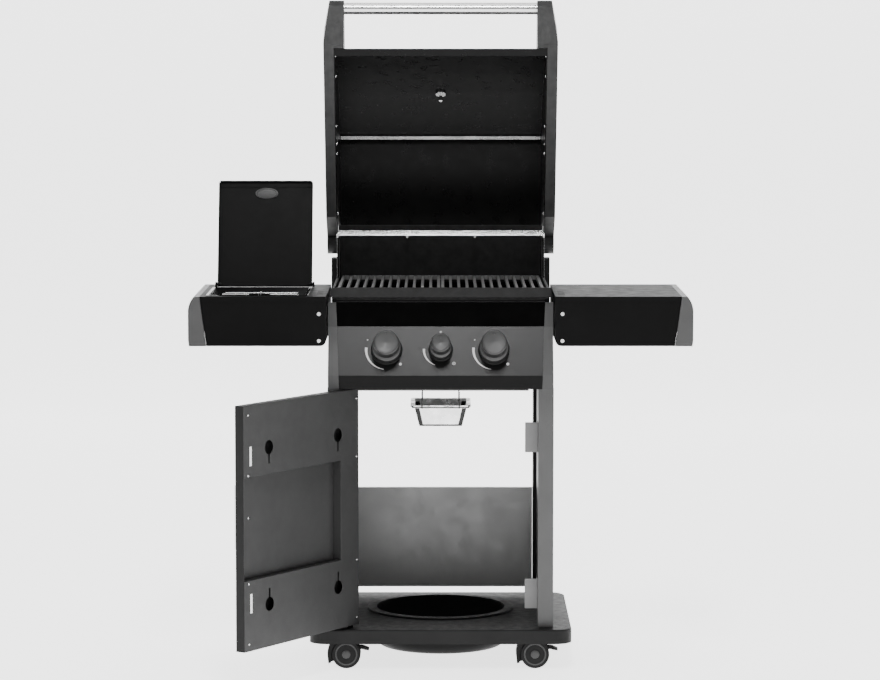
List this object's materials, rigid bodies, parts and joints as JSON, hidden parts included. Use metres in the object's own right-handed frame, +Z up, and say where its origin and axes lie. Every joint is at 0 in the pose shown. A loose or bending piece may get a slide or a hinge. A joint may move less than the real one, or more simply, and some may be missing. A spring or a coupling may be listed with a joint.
{
  "type": "gas barbecue grill",
  "caption": "Two-burner gas barbecue on a wheeled cabinet cart with an open hood, side shelves, a covered side burner and an open cabinet door.",
  "frame": {"origin": "on the floor, at the middle of the grill's bounding box at rest (lid, door and side burner lid open)", "axes": "+X to the user's right, +Y to the back of the grill, +Z up"},
  "size_m": [1.22, 1.1013, 1.6301],
  "materials": {
    "powder_black": "satin black powder coat",
    "powder_grey": "dark grey metallic powder coat",
    "cap_cast": "dark grey powder coated casting",
    "cap_plastic": "dark grey moulded plastic",
    "base_plastic": "dark textured plastic",
    "caster_plastic": "black nylon",
    "caster_tyre": "black rubber tread",
    "enamel_black": "gloss black porcelain enamel",
    "fire_cast": "cast aluminium, grey rim",
    "grate_iron": "matt enamelled cast iron",
    "stainless": "brushed stainless steel",
    "chrome_wire": "bright wire",
    "knob_grey": "dark grey moulded knob",
    "brass_parts": "machined brass",
    "foil": "crinkled aluminium foil",
    "ceramic": "white ceramic",
    "needle_red": "red painted pointer"
  },
  "bodies": {
    "cart": {"base_tray": "base_plastic", "cylinder_dish": "base_plastic", "front_left_pillar": "powder_grey", "front_right_pillar": "powder_grey", "left_side_panel": "powder_black", "right_side_panel": "powder_black", "back_panel": "powder_grey", "catch_plates": "powder_grey", "cross_rails": "powder_black", "firebox": "fire_cast", "main_burners": "stainless", "heat_plates": "stainless", "igniter_electrodes": "ceramic", "left_cooking_grate": "grate_iron", "right_cooking_grate": "grate_iron", "warming_rack": "chrome_wire", "control_panel": "powder_grey", "vent_strip": "enamel_black", "control_panel_trims": "cap_plastic", "knob_bezels": "knob_grey", "gas_valves": "brass_parts", "gas_manifold": "stainless", "left_side_shelf": "powder_black", "right_side_shelf": "powder_black", "left_shelf_end_cap": "cap_plastic", "right_shelf_end_cap": "cap_plastic", "shelf_screws": "stainless", "side_burner_bowl": "enamel_black", "side_burner_head": "cap_cast", "pot_support": "chrome_wire", "hinge_pins": "stainless"},
    "lid": {"lid_skin": "enamel_black", "lid_end_cap_left": "cap_cast", "lid_end_cap_right": "cap_cast", "lid_handle": "stainless", "thermometer_case": "stainless"},
    "needle": {"thermometer_needle": "needle_red"},
    "side_lid": {"side_burner_lid": "powder_black"},
    "door": {"door_panel": "powder_black", "door_inner_plates": "powder_grey", "door_handle": "stainless"},
    "drip_tray": {"drip_tray": "stainless", "pan_hanger": "chrome_wire"},
    "foil_pan": {"foil_pan": "foil"},
    "spindle_left": {"valve_spindle_left": "brass_parts"},
    "knob_left": {"knob_left": "knob_grey"},
    "spindle_center": {"valve_spindle_center": "brass_parts"},
    "knob_center": {"knob_center": "knob_grey"},
    "spindle_right": {"valve_spindle_right": "brass_parts"},
    "knob_right": {"knob_right": "knob_grey"},
    "caster_front_left": {"caster_front_left": "caster_plastic"},
    "wheels_front_left": {"caster_front_left_wheels": "caster_tyre"},
    "brake_front_left": {"caster_front_left_brake_lever": "caster_plastic"},
    "caster_front_right": {"caster_front_right": "caster_plastic"},
    "wheels_front_right": {"caster_front_right_wheels": "caster_tyre"},
    "brake_front_right": {"caster_front_right_brake_lever": "caster_plastic"},
    "caster_rear_left": {"caster_rear_left": "caster_plastic"},
    "wheels_rear_left": {"caster_rear_left_wheels": "caster_tyre"},
    "caster_rear_right": {"caster_rear_right": "caster_plastic"},
    "wheels_rear_right": {"caster_rear_right_wheels": "caster_tyre"}
  },
  "joints": [
    {"name": "lid_hinge", "type": "hinge", "parent": "cart", "child": "lid", "pos_m": [0, 0.3796, 1.015], "axis": [1, 0, 0], "range_deg": [0, 68]},
    {"name": "thermometer_needle_turn", "type": "hinge", "parent": "lid", "child": "needle", "pos_m": [0, 0.37307, 1.39956], "axis": [0, 0.5255, 0.8508], "range_deg": [-270, 0]},
    {"name": "side_lid_hinge", "type": "hinge", "parent": "cart", "child": "side_lid", "pos_m": [-0.439, 0.0786, 0.925], "axis": [1, 0, 0], "range_deg": [0, 108]},
    {"name": "door_hinge", "type": "hinge", "parent": "cart", "child": "door", "pos_m": [-0.221, -0.1634, 0.4], "axis": [0, 0, 1], "range_deg": [0, 123.6]},
    {"name": "drip_tray_slide", "type": "slide", "parent": "cart", "child": "drip_tray", "axis": [0, 1, 0], "range_m": [0, 0.2]},
    {"name": "foil_pan_lift", "type": "slide", "parent": "drip_tray", "child": "foil_pan", "axis": [0, 0, 1], "range_m": [0, 0.03]},
    {"name": "knob_left_push", "type": "slide", "parent": "cart", "child": "spindle_left", "axis": [0, 0.9171, -0.3987], "range_m": [0, 0.003], "stiffness_N_per_m": 1500, "springref_m": -0.002},
    {"name": "knob_left_turn", "type": "hinge", "parent": "spindle_left", "child": "knob_left", "pos_m": [-0.131, -0.17931, 0.784], "axis": [0, -0.9171, 0.3987], "range_deg": [0, 225]},
    {"name": "knob_center_push", "type": "slide", "parent": "cart", "child": "spindle_center", "axis": [0, 0.9171, -0.3987], "range_m": [0, 0.003], "stiffness_N_per_m": 1500, "springref_m": -0.002},
    {"name": "knob_center_turn", "type": "hinge", "parent": "spindle_center", "child": "knob_center", "pos_m": [0, -0.17931, 0.784], "axis": [0, -0.9171, 0.3987], "range_deg": [0, 180]},
    {"name": "knob_right_push", "type": "slide", "parent": "cart", "child": "spindle_right", "axis": [0, 0.9171, -0.3987], "range_m": [0, 0.003], "stiffness_N_per_m": 1500, "springref_m": -0.002},
    {"name": "knob_right_turn", "type": "hinge", "parent": "spindle_right", "child": "knob_right", "pos_m": [0.129, -0.17931, 0.784], "axis": [0, -0.9171, 0.3987], "range_deg": [0, 225]},
    {"name": "caster_front_left_swivel", "type": "hinge", "parent": "cart", "child": "caster_front_left", "pos_m": [-0.249, -0.1504, 0.08], "axis": [0, 0, 1], "continuous": true},
    {"name": "wheels_front_left_roll", "type": "hinge", "parent": "caster_front_left", "child": "wheels_front_left", "pos_m": [-0.231, -0.1504, 0.035], "axis": [0, 1, 0], "continuous": true},
    {"name": "brake_front_left_press", "type": "hinge", "parent": "caster_front_left", "child": "brake_front_left", "pos_m": [-0.211, -0.1504, 0.051], "axis": [0, 1, 0], "range_deg": [0, 12]},
    {"name": "caster_front_right_swivel", "type": "hinge", "parent": "cart", "child": "caster_front_right", "pos_m": [0.213, -0.1504, 0.08], "axis": [0, 0, 1], "continuous": true},
    {"name": "wheels_front_right_roll", "type": "hinge", "parent": "caster_front_right", "child": "wheels_front_right", "pos_m": [0.231, -0.1504, 0.035], "axis": [0, 1, 0], "continuous": true},
    {"name": "brake_front_right_press", "type": "hinge", "parent": "caster_front_right", "child": "brake_front_right", "pos_m": [0.251, -0.1504, 0.051], "axis": [0, 1, 0], "range_deg": [0, 12]},
    {"name": "caster_rear_left_swivel", "type": "hinge", "parent": "cart", "child": "caster_rear_left", "pos_m": [-0.249, 0.2846, 0.08], "axis": [0, 0, 1], "continuous": true},
    {"name": "wheels_rear_left_roll", "type": "hinge", "parent": "caster_rear_left", "child": "wheels_rear_left", "pos_m": [-0.231, 0.2846, 0.035], "axis": [0, 1, 0], "continuous": true},
    {"name": "caster_rear_right_swivel", "type": "hinge", "parent": "cart", "child": "caster_rear_right", "pos_m": [0.213, 0.2846, 0.08], "axis": [0, 0, 1], "continuous": true},
    {"name": "wheels_rear_right_roll", "type": "hinge", "parent": "caster_rear_right", "child": "wheels_rear_right", "pos_m": [0.231, 0.2846, 0.035], "axis": [0, 1, 0], "continuous": true}
  ]
}
